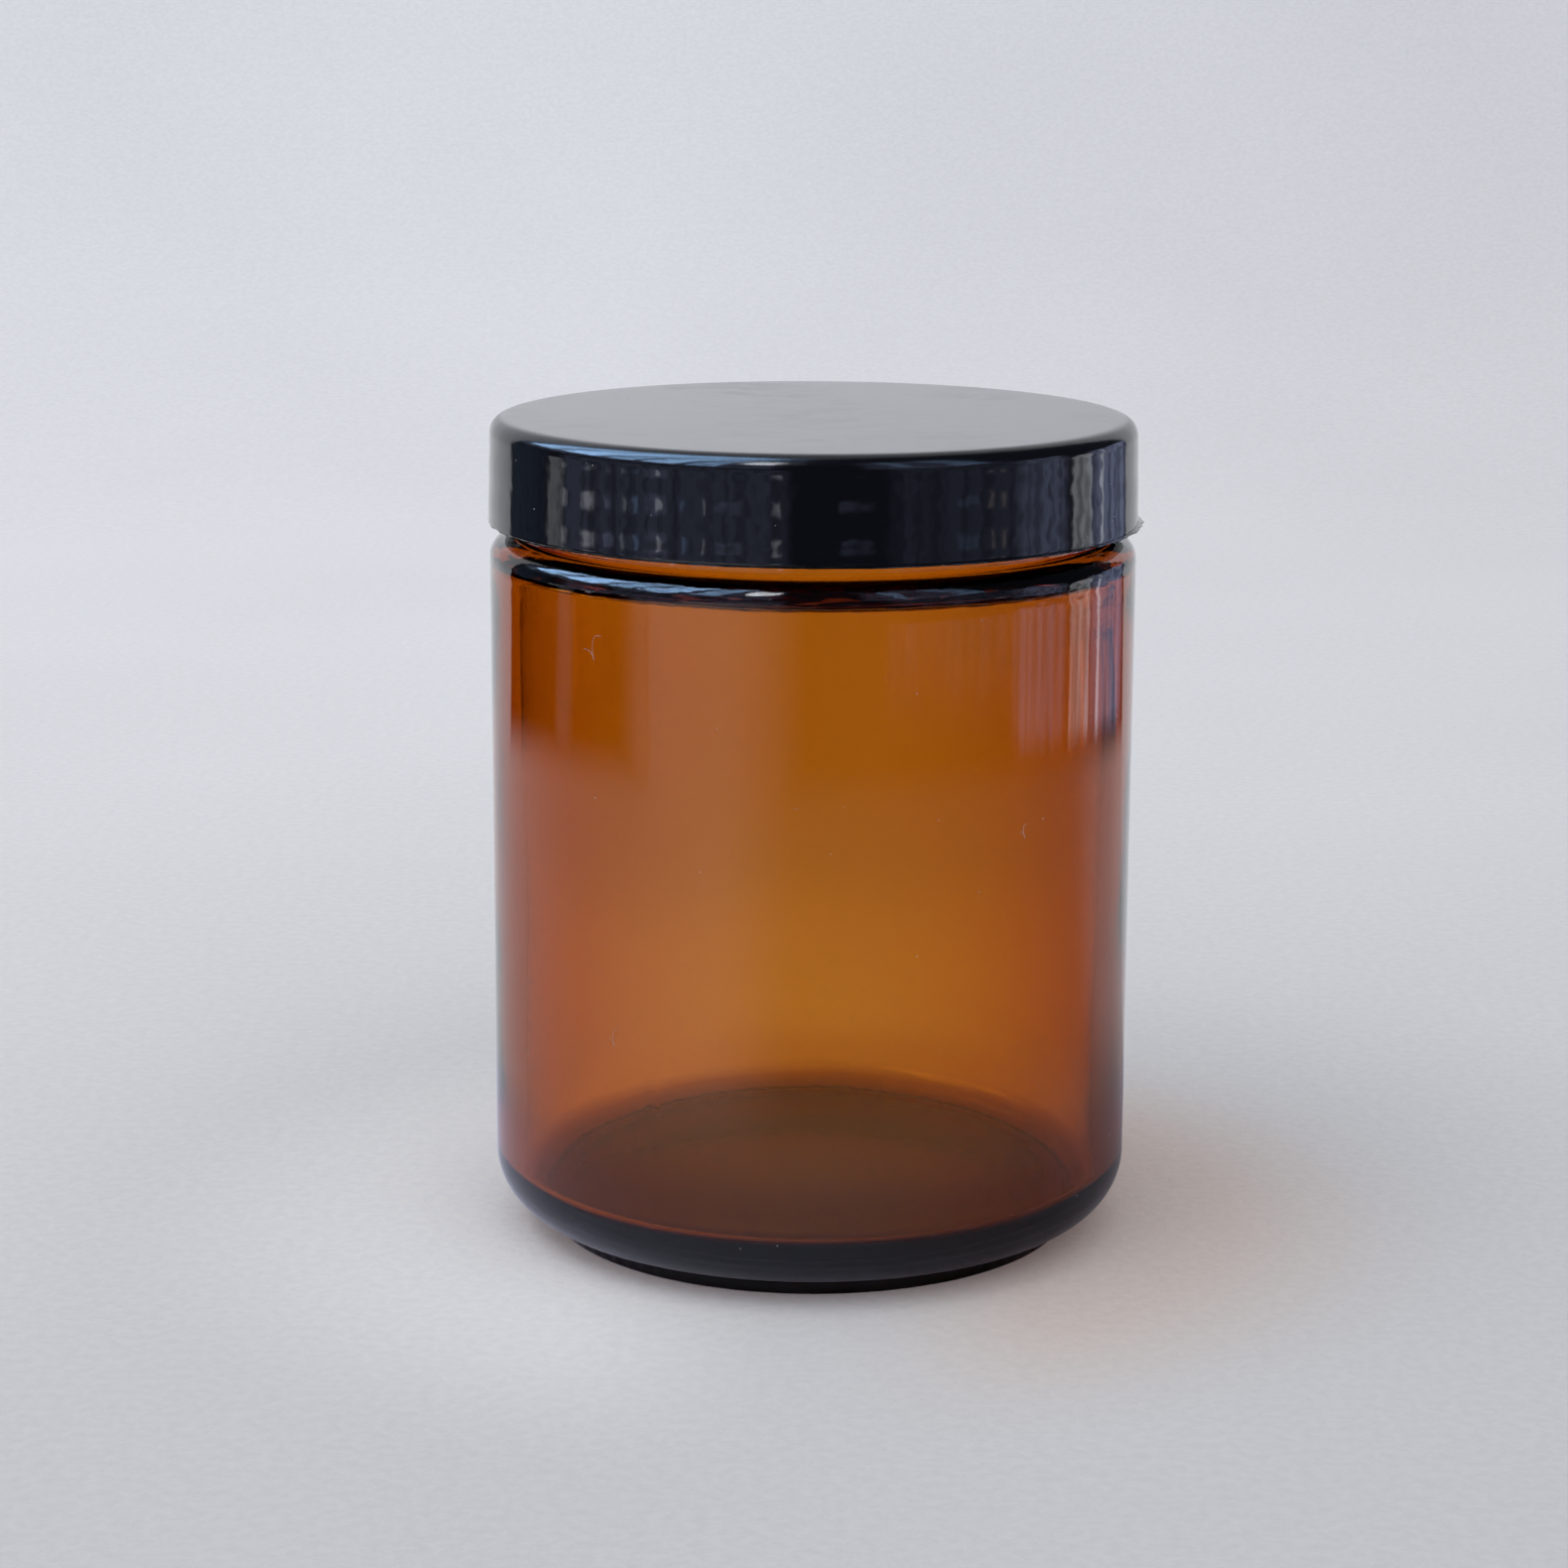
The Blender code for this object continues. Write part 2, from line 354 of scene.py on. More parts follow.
def even_line(start, end, steps):
    """Points (r, z) on a straight line, evenly spaced."""
    points = []
    for i in range(steps + 1):
        t = i / steps
        points.append((start[0] + (end[0] - start[0]) * t, start[1] + (end[1] - start[1]) * t))
    return points


def domed(radius, middle_z, edge_z, power, steps):
    """Points (r, z) from the axis out to radius, closer together towards the edge."""
    points = []
    for i in range(steps + 1):
        t = sin(pi / 2 * i / steps)
        points.append((radius * t, middle_z + (edge_z - middle_z) * t**power))
    return points


def marked(points, **shares):
    """Each point with the shares of the marks that it carries."""
    return [(r, z, shares) for r, z in points]


SMALLEST_STEP = 0.005 * MM


def without_repeats(points):
    """The profile with points that fall on the one before left out."""
    kept = [points[0]]
    for point in points[1:]:
        if abs(point[0] - kept[-1][0]) + abs(point[1] - kept[-1][1]) > SMALLEST_STEP:
            kept.append(point)
    return kept


def turned(name, profile, tree, body, node, slot, **inputs):
    """A turned piece that replaces a CAD node."""
    profile = without_repeats(profile)
    mesh = bpy.data.meshes.new(name)
    mesh.from_pydata([(r, 0, z) for r, z, _ in profile], [], [])
    for mark in MARKS:
        attribute = mesh.attributes.new(mark, "FLOAT", "POINT")
        attribute.data.foreach_set("value", [shares.get(mark, 0.0) for _, _, shares in profile])
    thing = bpy.data.objects.new(name, mesh)
    bpy.context.scene.collection.objects.link(thing)
    modifier = thing.modifiers.new("turned", "NODES")
    modifier.node_group = tree
    set_inputs(modifier, inputs)
    plain_mesh(thing)
    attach(thing, body)
    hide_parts(node)
    return thing


def set_inputs(modifier, values):
    """Set a modifier's inputs by their names."""
    left = dict(values)
    for item in modifier.node_group.interface.items_tree:
        if item.item_type == "SOCKET" and item.in_out == "INPUT" and item.name in left:
            modifier[item.identifier] = left.pop(item.name)
    if left:
        raise ValueError(f"{modifier.node_group.name} has no input named {sorted(left)}")


def plain_mesh(thing):
    """Turn what the modifiers make into the object's own mesh."""
    bpy.context.view_layer.update()
    evaluated = thing.evaluated_get(bpy.context.evaluated_depsgraph_get())
    mesh = bpy.data.meshes.new_from_object(evaluated)
    mesh.name = thing.name
    thing.modifiers.clear()
    thing.data = mesh


# ---- Materials ----


def new_material(name):
    """A material with an empty node tree: returns it, its Graph and its output node."""
    material = bpy.data.materials.new(name)
    material.use_nodes = True
    material.node_tree.nodes.clear()
    graph = Graph(material.node_tree)
    return material, graph, graph.node("ShaderNodeOutputMaterial")


def principled(graph, output, colour, roughness, **plain):
    """The material's Principled BSDF. Its other numbers are set on its own sockets."""
    shader = graph.node("ShaderNodeBsdfPrincipled", {"Base Color": colour, "Roughness": roughness})
    for name, value in plain.items():
        shader.inputs[name.replace("_", " ")].default_value = value
    graph.feed(output.inputs["Surface"], shader.outputs[0])
    return shader


def place(graph):
    """The place on the object, which moves with it."""
    return graph.node("ShaderNodeTexCoord").outputs["Object"]


def stretched(graph, spot, scale):
    """The place scaled along its axes, so that noise read there is drawn out along the others."""
    made = graph.node("ShaderNodeVectorMath", operation="MULTIPLY")
    graph.feed(made.inputs[0], spot)
    made.inputs[1].default_value = scale
    return made.outputs[0]


def handling_marks():
    """Faint smudges and the slight waviness of a moulded surface, which the glass and the plastic share."""
    inputs = [("Spot", "NodeSocketVector", None), ("Waves", FLOAT, 120.0)]
    graph, given, result = new_group(
        "handling marks", "ShaderNodeTree", inputs, [("Smudge", FLOAT), ("Waviness", FLOAT)]
    )
    spot = given.outputs["Spot"]
    patches = graph.ramp(graph.noise(spot, 38.0, 3.0, 0.6), 0.48, 0.7)
    wiped = graph.ramp(graph.noise(stretched(graph, spot, (1.0, 1.0, 0.3)), 280.0, 3.0, 0.6), 0.35, 0.75)
    graph.feed(result.inputs["Smudge"], graph.times(patches, wiped))
    graph.feed(result.inputs["Waviness"], graph.noise(spot, given.outputs["Waves"], 2.0))
    return graph.tree


def relief(graph, shader, height, depth, strength=1.0):
    """Small relief of the surface, as deep as depth where height goes from 0 to 1."""
    bump = graph.node("ShaderNodeBump", {"Strength": strength, "Distance": depth, "Height": height})
    graph.feed(shader.inputs["Normal"], bump.outputs[0])


AMBER_DENSITY = 900.0
AMBER_PER_METRE = (115.0, 325.0, 870.0)  # absorption of red, green and blue
GLASS_CLEAN = 0.012  # roughness
GLASS_SMUDGED = 0.05
GLASS_RELIEF = 0.16 * MM

# Heights between which the mould's chill shows as ripples at the shoulder
CHILL_START = SHOULDER_TOP - 4.5 * MM
CHILL_FULL = SHOULDER_TOP - 1.5 * MM
CHILL_FADE = SHOULDER_TOP - 0.1 * MM
CHILL_END = SHOULDER_TOP + 0.3 * MM

# Heights over which the fine orange peel below the shoulder sets in
PEEL_START = 66 * MM
PEEL_FULL = 78 * MM


def amber_glass(marks):
    """Amber glass, rippled where the mould chilled it at the shoulder."""
    material, graph, output = new_material("amber glass")
    spot = place(graph)
    height = graph.axes(spot)["Z"]
    handled = graph.node("ShaderNodeGroup", {"Spot": spot, "Waves": 260.0}, node_tree=marks).outputs
    roughness = graph.ramp(handled["Smudge"], 0.0, 1.0, GLASS_CLEAN, GLASS_SMUDGED)
    shader = principled(graph, output, (1, 1, 1, 1), roughness, Transmission_Weight=1.0, IOR=1.5)
    chill = graph.noise(stretched(graph, spot, (1.0, 1.0, 4.5)), 120.0, 2.0, 0.55)
    low_side = graph.ramp(height, CHILL_START, CHILL_FULL)
    chill = graph.times(chill, low_side, graph.ramp(height, CHILL_END, CHILL_FADE))
    peel = graph.times(graph.noise(spot, 900.0, 1.0), graph.ramp(height, PEEL_START, PEEL_FULL), 0.06)
    relief(graph, shader, graph.add(chill, peel, graph.times(handled["Waviness"], 0.03)), GLASS_RELIEF)
    tint = [1 - per_metre / AMBER_DENSITY for per_metre in AMBER_PER_METRE]
    absorb = graph.node("ShaderNodeVolumeAbsorption", {"Color": (*tint, 1), "Density": AMBER_DENSITY})
    graph.feed(output.inputs["Volume"], absorb.outputs[0])
    return material


PLASTIC_GLOSSY = 0.05  # roughness
PLASTIC_SATIN = 0.2
PLASTIC_SMUDGED = 0.07  # added where it is smudged
PLASTIC_RELIEF = 0.045 * MM
TOP_COAT = 0.5


def black_plastic(marks):
    """Black plastic, glossy on its side and satin on top."""
    material, graph, output = new_material("black cap plastic")
    spot = place(graph)
    height = graph.axes(spot)["Z"]
    on_top = graph.ramp(height, CAP_TOP - 0.25 * MM, CAP_TOP - 0.02 * MM)
    handled = graph.node("ShaderNodeGroup", {"Spot": spot, "Waves": 240.0}, node_tree=marks).outputs
    satin = graph.ramp(height, CAP_TOP - 1.7 * MM, CAP_TOP - 0.05 * MM, PLASTIC_GLOSSY, PLASTIC_SATIN)
    roughness = graph.add(satin, graph.times(handled["Smudge"], PLASTIC_SMUDGED))
    shader = principled(graph, output, (0.0035, 0.0035, 0.0055, 1), roughness, IOR=1.5, Coat_Roughness=0.2)
    graph.feed(shader.inputs["Coat Weight"], graph.times(on_top, TOP_COAT))
    relief(graph, shader, handled["Waviness"], PLASTIC_RELIEF)
    return material


def pale_lint():
    material, graph, output = new_material("pale lint and dust")
    tone = graph.ramp(graph.noise(place(graph), 300.0), 0.3, 0.7, 0.3, 0.6)
    colour = graph.node("ShaderNodeCombineColor", {"Red": tone, "Green": tone, "Blue": tone})
    principled(graph, output, colour.outputs[0], 0.8)
    return material


def liner_board():
    material, graph, output = new_material("liner board")
    principled(graph, output, (0.5, 0.4, 0.27, 1), 0.85)
    return material


def liner_film():
    material, graph, output = new_material("liner film")
    principled(graph, output, (0.8, 0.8, 0.78, 1), 0.3)
    return material


# ---- The pieces ----


UNEVEN_FADE = 6 * MM  # the wall's unevenness dies out over this much at its ends


def jar_profile():
    """The glass from the middle of the floor up the inside, over the lip and down the outside."""
    bore = BODY_RADIUS - WALL
    floor_radius = bore - FLOOR_FILLET
    neck_low = SHOULDER_TOP + NECK_FILLET
    ledge = NECK_RADIUS + NECK_FILLET
    shoulder_low = SHOULDER_TOP - SHOULDER_ROUND
    heel_high = FOOT_HEIGHT + HEEL_ROUND
    lip_low = LIP_TOP - LIP_ROUND
    land_inner = FOOT_RADIUS - FOOT_ROUND - FOOT_LAND
    points = marked(domed(floor_radius, FLOOR_TOP + FLOOR_DOME, FLOOR_TOP, 2, 10))
    points += marked(arc((floor_radius, FLOOR_TOP + FLOOR_FILLET), FLOOR_FILLET, -90, 0, 12))
    wall_low, wall_high = FLOOR_TOP + FLOOR_FILLET, NECK_UNDERSIDE - NECK_CORNER
    for r, z in line((bore, wall_low), (bore, wall_high), 30):
        share = min(1.0, (z - wall_low) / UNEVEN_FADE, (wall_high - z) / UNEVEN_FADE)
        points += marked([(r, z)], uneven=share * share * (3 - 2 * share))
    bore_low = NECK_UNDERSIDE + NECK_RISE + BORE_CORNER
    points += marked(arc((bore - NECK_CORNER, wall_high), NECK_CORNER, 0, 90, 8))
    points += marked(arc((NECK_BORE + BORE_CORNER, bore_low), BORE_CORNER, 270, 180, 8))
    points += marked(line((NECK_BORE, bore_low), (NECK_BORE, lip_low), 8))
    points += marked(arc((NECK_BORE + LIP_ROUND, lip_low), LIP_ROUND, 180, 90, 7))
    points += marked(arc((NECK_RADIUS - LIP_ROUND, lip_low), LIP_ROUND, 90, 0, 7))
    points += marked(even_line((NECK_RADIUS, lip_low), (NECK_RADIUS, neck_low), 58), threaded=1.0)
    points += marked(arc((ledge, neck_low), NECK_FILLET, 180, 270, 6))
    points += marked(arc((ledge, shoulder_low), SHOULDER_ROUND, 90, 0, 16))
    points += marked(line((BODY_RADIUS, shoulder_low), (BODY_RADIUS, heel_high), 26), seamed=1.0)
    points += marked(arc((BODY_RADIUS - HEEL_ROUND, heel_high), HEEL_ROUND, 0, -85, 22))
    points += marked(even_line((FOOT_RADIUS, FOOT_HEIGHT), (FOOT_RADIUS, FOOT_ROUND), 4)[1:-1], stippled=1.0)
    points += marked(arc((FOOT_RADIUS - FOOT_ROUND, FOOT_ROUND), FOOT_ROUND, 0, -90, 7))
    points += marked(line((FOOT_RADIUS - FOOT_ROUND, 0.0), (land_inner, 0.0), 3))
    points += marked(list(reversed(domed(land_inner, PUSH_UP, 0.0, PUSH_UP_POWER, 16))))
    return points


def glass_jar(tree, marks):
    return turned(
        "amber_jar",
        jar_profile(),
        tree,
        "jar",
        "glass_jar",
        "amber_glass",
        **{
            "Sides": 360,
            "Thread Start": JAR_THREAD_BOTTOM,
            "Thread Height": JAR_THREAD_HEIGHT,
            "Seam Height": 0.05 * MM,
            "Seam Width": 0.5 * MM,
            "Seam Angle": radians(242),
            "Stipple Height": 0.25 * MM,
            "Uneven": 0.3 * MM,
            "Thick Sides": 0.2 * MM,
            "Thin Wall": 0.45 * MM,
            "Material": amber_glass(marks),
        },
    )


def cap_profile():
    """The cap from the middle of its top down the outside, round the rim and up the inside."""
    roof = CAP_TOP - CAP_ROOF
    top_radius = CAP_RADIUS_TOP - CAP_EDGE_ROUND
    rim_radius = CAP_RADIUS_BASE - CAP_RIM_ROUND
    rim_high = CAP_BASE + CAP_RIM_ROUND
    bore_low = CAP_BASE + CAP_RIM_CHAMFER
    fillet_low = roof - CAP_ROOF_FILLET
    points = marked(domed(top_radius, CAP_TOP, CAP_TOP, 1, 12))
    points += marked(arc((top_radius, CAP_TOP - CAP_EDGE_ROUND), CAP_EDGE_ROUND, 90, 0, 16))
    skirt_high = CAP_TOP - CAP_EDGE_ROUND
    for r, z in even_line((CAP_RADIUS_TOP, skirt_high), (CAP_RADIUS_BASE, rim_high), 40):
        points += marked([(r, z)], waved=min(1.0, (skirt_high - z) / MM, (z - rim_high) / MM))
    points += marked(arc((rim_radius, rim_high), CAP_RIM_ROUND, 0, -50, 3))
    points += marked(arc((rim_radius, rim_high), CAP_RIM_ROUND, -60, -75, 1), rimmed=1.0)
    points += marked(arc((rim_radius, rim_high), CAP_RIM_ROUND, -85, -90, 1))
    points += marked([(CAP_BORE + CAP_RIM_CHAMFER, CAP_BASE)])
    points += marked(even_line((CAP_BORE, bore_low), (CAP_BORE, fillet_low), 60), threaded=1.0)
    points += marked(arc((CAP_BORE - CAP_ROOF_FILLET, fillet_low), CAP_ROOF_FILLET, 0, 90, 5))
    points += marked(list(reversed(domed(CAP_BORE - CAP_ROOF_FILLET, roof, roof, 1, 8))))
    return points


def screw_cap(tree, marks):
    return turned(
        "black_cap",
        cap_profile(),
        tree,
        "cap",
        "screw_cap",
        "black_plastic",
        **{
            "Sides": 320,
            "Thread Start": CAP_THREAD_BOTTOM,
            "Thread Turn": (CAP_THREAD_BOTTOM - JAR_THREAD_BOTTOM + THREAD_DROP) / PITCH,
            "Root Width": 1.9 * MM,
            "Crest Width": 0.8 * MM,
            "Thread Height": -CAP_THREAD_HEIGHT,
            "Wave Height": 0.015 * MM,
            "Rim Reach": 0.35 * MM,
            "Rim Lean": 0.25 * MM,
            "Rim Ragged": 0.9 * MM,
            "Material": black_plastic(marks),
        },
    )


def liner_ply(tree, name, low, high, node, slot, material):
    """One disc of the liner, with its edge rounded."""
    edge = (high.z - low.z) / 3
    points = marked(domed(LINER_RADIUS - edge, high.z, high.z, 1, 8))
    points += marked(arc((LINER_RADIUS - edge, high.z - edge), edge, 90, 0, 4))
    points += marked(arc((LINER_RADIUS - edge, low.z + edge), edge, 0, -90, 4))
    points += marked(list(reversed(domed(LINER_RADIUS - edge, low.z, low.z, 1, 8))))
    return turned(name, points, tree, "liner", node, slot, **{"Sides": 180, "Material": material})


# A speck's width and thickness, as shares of its length
SPECK_WIDTH = 0.6
SPECK_THICKNESS = 0.35


def specks_tree():
    """Scatters flat specks over a piece's outer side and top, each turned and sized at random."""
    inputs = [
        ("Surface", GEOMETRY, None),
        ("Per Square Metre", FLOAT, 9000.0),
        ("Outside From", FLOAT, 0.0),
        ("Top From", FLOAT, 1.0),
        ("Smallest", FLOAT, 0.05 * MM),
        ("Largest", FLOAT, 0.12 * MM),
        ("Seed", "NodeSocketInt", 1),
        ("Material", MATERIAL, None),
    ]
    graph, given, result = new_group("dust specks", "GeometryNodeTree", inputs, [("Specks", GEOMETRY)])
    want = given.outputs
    spot = graph.axes(graph.node("GeometryNodeInputPosition").outputs[0])
    outside = graph.math("GREATER_THAN", graph.from_axis(spot), want["Outside From"])
    on_top = graph.math("GREATER_THAN", spot["Z"], want["Top From"])
    density = graph.times(graph.math("MAXIMUM", outside, on_top), want["Per Square Metre"])
    scatter = graph.node("GeometryNodeDistributePointsOnFaces", {"Mesh": want["Surface"], "Density": density})
    graph.feed(scatter.inputs["Seed"], want["Seed"])
    grain = graph.node("GeometryNodeMeshIcoSphere", {"Radius": 1.0, "Subdivisions": 1})
    size = graph.node("FunctionNodeRandomValue", data_type="FLOAT")
    chances = [socket for socket in size.inputs if socket.enabled and socket.name in ("Min", "Max")]
    graph.feed(chances[0], want["Smallest"])
    graph.feed(chances[1], want["Largest"])
    long = [socket for socket in size.outputs if socket.enabled][0]
    wide, thick = graph.times(long, SPECK_WIDTH), graph.times(long, SPECK_THICKNESS)
    shape = graph.node("ShaderNodeCombineXYZ", {"X": long, "Y": wide, "Z": thick})
    spread = graph.node("GeometryNodeInstanceOnPoints", {"Points": scatter.outputs["Points"]})
    graph.feed(spread.inputs["Instance"], grain.outputs["Mesh"])
    graph.feed(spread.inputs["Rotation"], scatter.outputs["Rotation"])
    graph.feed(spread.inputs["Scale"], shape.outputs[0])
    return end_tree(graph, result, spread.outputs[0], want["Material"])


def dust(tree, name, piece, body, inputs):
    """Dust that lies on a piece and moves with it."""
    thing = bpy.data.objects.new(name, piece.data.copy())
    bpy.context.scene.collection.objects.link(thing)
    modifier = thing.modifiers.new("dust", "NODES")
    modifier.node_group = tree
    set_inputs(modifier, inputs)
    plain_mesh(thing)
    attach(thing, body)
    return thing


FIBRE_SIDES = 6
FIBRE_STEPS = 28
FIBRE_THICKNESS = 0.035 * MM
FIBRE_SLOPE = 0.55
FIBRE_LIFT = 0.08 * MM  # how far its ends stand off the wall
FIBRE_ARCH = 0.1 * MM  # how much further its middle does


def fibre_tree():
    """Gives a polyline a round thickness."""
    inputs = [
        ("Path", GEOMETRY, None),
        ("Thickness", FLOAT, 0.05 * MM),
        ("Material", MATERIAL, None),
    ]
    graph, given, result = new_group("lint fibre", "GeometryNodeTree", inputs, [("Fibre", GEOMETRY)])
    want = given.outputs
    path = graph.node("GeometryNodeMeshToCurve", {"Mesh": want["Path"]})
    radius = graph.times(want["Thickness"], 0.5)
    sides = {"Resolution": FIBRE_SIDES, "Radius": radius}
    ring = graph.node("GeometryNodeCurvePrimitiveCircle", sides, mode="RADIUS")
    tube = graph.node("GeometryNodeCurveToMesh", {"Curve": path.outputs[0], "Profile Curve": ring.outputs[0]})
    tube.inputs["Fill Caps"].default_value = True
    return end_tree(graph, result, tube.outputs[0], want["Material"])


def fibre(tree, name, left_of_front, height, reach, curl, material):
    """A curled fibre of lint clinging to the jar's wall."""
    points = []
    for i in range(FIBRE_STEPS + 1):
        t = i / FIBRE_STEPS
        along = reach * (t - 0.5) + curl * sin(5.2 * t + 0.4)
        up = reach * FIBRE_SLOPE * (t - 0.5) + curl * cos(7.1 * t)
        angle = radians(270 - left_of_front) + along / BODY_RADIUS
        radius = BODY_RADIUS + FIBRE_LIFT + FIBRE_ARCH * sin(pi * t)
        points.append((radius * cos(angle), radius * sin(angle), height + up))
    mesh = bpy.data.meshes.new(name)
    mesh.from_pydata(points, [(i, i + 1) for i in range(FIBRE_STEPS)], [])
    thing = bpy.data.objects.new(name, mesh)
    bpy.context.scene.collection.objects.link(thing)
    modifier = thing.modifiers.new("fibre", "NODES")
    modifier.node_group = tree
    set_inputs(modifier, {"Thickness": FIBRE_THICKNESS, "Material": material})
    plain_mesh(thing)
    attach(thing, "jar")


# ---- The stage ----


BOWL_FLAT = 0.55
BOWL_CURVE = 0.45
BOWL_HEIGHT = 1.1
BOWL_SIDES = 128
AIR_GAP = 0.05 * MM
ROOM_RADIUS = 3.0


def spun(name, points, sides, material):
    """An open surface turned about Z, which isn't part of the object."""
    form = bmesh.new()
    corners = [form.verts.new((r, 0, z)) for r, z in points]
    edges = [form.edges.new(pair) for pair in zip(corners, corners[1:])]
    bmesh.ops.spin(
        form, geom=corners + edges, cent=(0, 0, 0), axis=(0, 0, 1), angle=2 * pi, steps=sides, use_merge=True
    )
    bmesh.ops.remove_doubles(form, verts=form.verts, dist=0.00001)
    for face in form.faces:
        if face.normal.dot(face.calc_center_median() - Vector((0, 0, BOWL_HEIGHT))) > 0:
            face.normal_flip()
    mesh = bpy.data.meshes.new(name)
    form.to_mesh(mesh)
    form.free()
    mesh.shade_smooth()
    mesh.materials.append(material)
    thing = bpy.data.objects.new(name, mesh)
    bpy.context.scene.collection.objects.link(thing)
    return thing


def band(graph, value, low, high, soft):
    """1 where value lies from low to high, falling to 0 over a soft edge."""
    return graph.times(graph.ramp(value, low - soft, low + soft), graph.ramp(value, high + soft, high - soft))


def mirrored(graph):
    """1 for what is seen by way of a reflection in the object, with no matt surface on the way."""
    path = graph.node("ShaderNodeLightPath").outputs
    in_gloss = graph.math("GREATER_THAN", path["Glossy Depth"], 0.5)
    return graph.times(in_gloss, graph.math("LESS_THAN", path["Diffuse Depth"], 0.5))


def bearing(graph, point):
    """Degrees to the left of the front, -180 to 180, of a point with the jar at the middle."""
    axes = graph.axes(point)
    angle = graph.math("ARCTAN2", graph.times(axes["X"], -1.0), graph.times(axes["Y"], -1.0))
    return graph.times(angle, 180 / pi), axes


# Painted reflection: the paper's outline and brightness as the jar mirrors it are set here by bearing and
# distance
# The paper as the jar mirrors it. Bearings are degrees to the left of the front, as bearing() gives them,
# and distances are metres from the jar's axis. A ramp lists where it starts and ends and its values there,
# which are 0 and 1 if they aren't given, and a band lists from, to and its soft edge.
SHEET_BACK_LEFT = 130.0
SHEET_BACK_RIGHT = -139.0
SHEET_END = 0.53
SHEET_EDGE = 0.02
SHEET_RIGHT_END = (0.30, 0.34)
SHEET_RIGHT_FROM = (2.0, -4.0)
BRIGHTER_TO_WINDOW = (2.0, 34.0, 0.36, 1.3)
DIMMER_PAST_WINDOW = (50.0, 90.0, 1.0, 0.75)
BRIGHTER_BACK_RIGHT = (-95.0, -115.0, 0.0, 0.45)
BRIGHTNESS_CLOSE_BY = (-60.0, 10.0, 0.6, 1.0)
CLOSE_BY = (0.13, 0.075)
BEFORE_FRONT_END = (0.335, 0.275)
LONG_SIDE = (6.0, 62.0, 8.0)
LEFT_STRIP = (90.0, 97.5, 2.0)
LEFT_STRIP_LEVEL = 0.4


def painted_sheet_reflection(graph, degrees, across):
    """Painted reflection: how bright the paper shows in the jar, bright towards the window, dim in front and
    on the right.
    """
    bright = graph.times(graph.ramp(degrees, *BRIGHTER_TO_WINDOW), graph.ramp(degrees, *DIMMER_PAST_WINDOW))
    bright = graph.add(bright, graph.ramp(degrees, *BRIGHTER_BACK_RIGHT))
    to_close = graph.math("SUBTRACT", graph.ramp(degrees, *BRIGHTNESS_CLOSE_BY), bright)
    bright = graph.add(bright, graph.times(graph.ramp(across, *CLOSE_BY), to_close))
    near = graph.ramp(across, *BEFORE_FRONT_END)
    strip = graph.times(band(graph, degrees, *LEFT_STRIP), LEFT_STRIP_LEVEL)
    far = graph.math("MAXIMUM", band(graph, degrees, *LONG_SIDE), strip)
    return graph.times(bright, graph.math("MAXIMUM", near, far))


# The paper's colour by channel, and then how much of it is left in the painted amber light beside the jar,
# in the painted cooler reflection close to the jar, and in the painted shade seen through the jar's floor
PAPER_TONES = (
    ("Red", 0.780, 1.0, 0.82, 0.52),
    ("Green", 0.790, 0.88, 0.85, 0.35),
    ("Blue", 0.815, 0.80, 1.0, 0.9),
)

# Ramps on the paper, listed in the same way, in metres from the jar's axis, to the right or to the back
# Painted light and shade: the paper is drawn lighter to the back, darker to the right and darker in front
LIGHTER_TO_BACK = (-0.12, 0.36, 1.0, 1.14)
DARKER_TO_RIGHT = (-0.05, 0.22, 1.0, 0.9)
DARKER_IN_FRONT = (-0.1, 0.0, 0.92, 1.0)
# A painted pool of light on the paper by the jar's left
LIT_SPOT = (0.085, 0.04)
LIT_SPOT_LEFT = (0.0, -0.03)
LIT_SPOT_GAIN = 1.2
# Painted amber light on the paper beside the jar, on its right
AMBER_SPOT = (0.078, 0.042)
AMBER_SPOT_RIGHT = (0.0, 0.03)
# A painted cooler reflection of the paper close to the jar
COOL_SPOT = (0.09, 0.06)
# Painted light on the paper seen through the jar behind it, and painted shade under its floor
SEEN_BEHIND_FAR = (0.2, 0.06)
SEEN_BEHIND_NEAR = (0.015, 0.05)
SEEN_BEHIND_GAIN = 0.42
SEEN_THROUGH_GAIN = 0.1
SEEN_UNDER = (0.045, -0.02)
PAPER_RELIEF = 0.6 * MM


def paper_missing(graph, degrees, across, behind, seen):
    """Where the paper is left out: past its outline as mirrored, from below and for light off matt things."""
    past = graph.ramp(across, SHEET_END - SHEET_EDGE, SHEET_END + SHEET_EDGE)
    right = graph.times(graph.ramp(degrees, *SHEET_RIGHT_FROM), graph.ramp(across, *SHEET_RIGHT_END))
    past = graph.math("MAXIMUM", past, right)
    missing = graph.times(past, graph.math("SUBTRACT", 1.0, behind), seen)
    below = graph.node("ShaderNodeNewGeometry").outputs["Backfacing"]
    depth = graph.node("ShaderNodeLightPath").outputs["Diffuse Depth"]
    lit = graph.math("GREATER_THAN", depth, 0.5)
    return graph.math("MAXIMUM", graph.math("MAXIMUM", missing, below), lit)


def mixed(graph, output, share, first, second):
    """The material's surface: the first shader, with this share of the second."""
    mix = graph.node("ShaderNodeMixShader", {"Fac": share})
    graph.feed(mix.inputs[1], first.outputs[0])
    graph.feed(mix.inputs[2], second.outputs[0])
    graph.feed(output.inputs["Surface"], mix.outputs[0])


